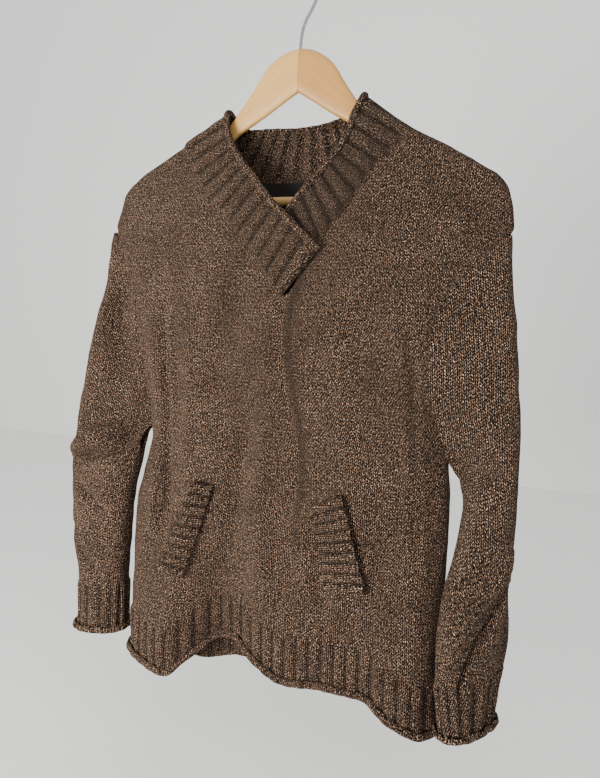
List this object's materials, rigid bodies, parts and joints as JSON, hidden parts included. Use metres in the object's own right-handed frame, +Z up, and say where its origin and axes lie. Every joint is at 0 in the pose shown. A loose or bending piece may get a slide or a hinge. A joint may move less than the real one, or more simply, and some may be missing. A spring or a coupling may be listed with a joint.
{
  "type": "v-neck sweater on a wooden hanger",
  "caption": "Long-sleeved chunky knit pullover with a crossed ribbed V-neck, slanted pocket welts and rolled ribbed edges, hanging on a wooden hanger with a trouser bar.",
  "frame": {"origin": "inner top of the hanger's hook, where the hook rests on a rail or peg", "axes": "+Z up along the hanging direction, +X to the right as seen from the front, -Y towards the front of the sweater"},
  "size_m": [0.6052, 0.0864, 0.9356],
  "materials": {
    "brown_wool_knit": "matt chunky marled knit",
    "dark_woven_label": "plain dark woven tape",
    "pale_beech": "clear satin varnish",
    "warm_beech": "clear satin varnish",
    "dark_chrome_wire": "dull chrome"
  },
  "bodies": {
    "root": {"front_panel": "brown_wool_knit", "back_panel": "brown_wool_knit", "sleeve_left": "brown_wool_knit", "sleeve_right": "brown_wool_knit", "neckband": "brown_wool_knit", "pocket_welt_left": "brown_wool_knit", "pocket_welt_right": "brown_wool_knit", "neck_label": "dark_woven_label", "hanger_arm_left": "pale_beech", "hanger_arm_right": "warm_beech", "hanger_bar": "warm_beech", "hanger_hook": "dark_chrome_wire"}
  },
  "joints": []
}
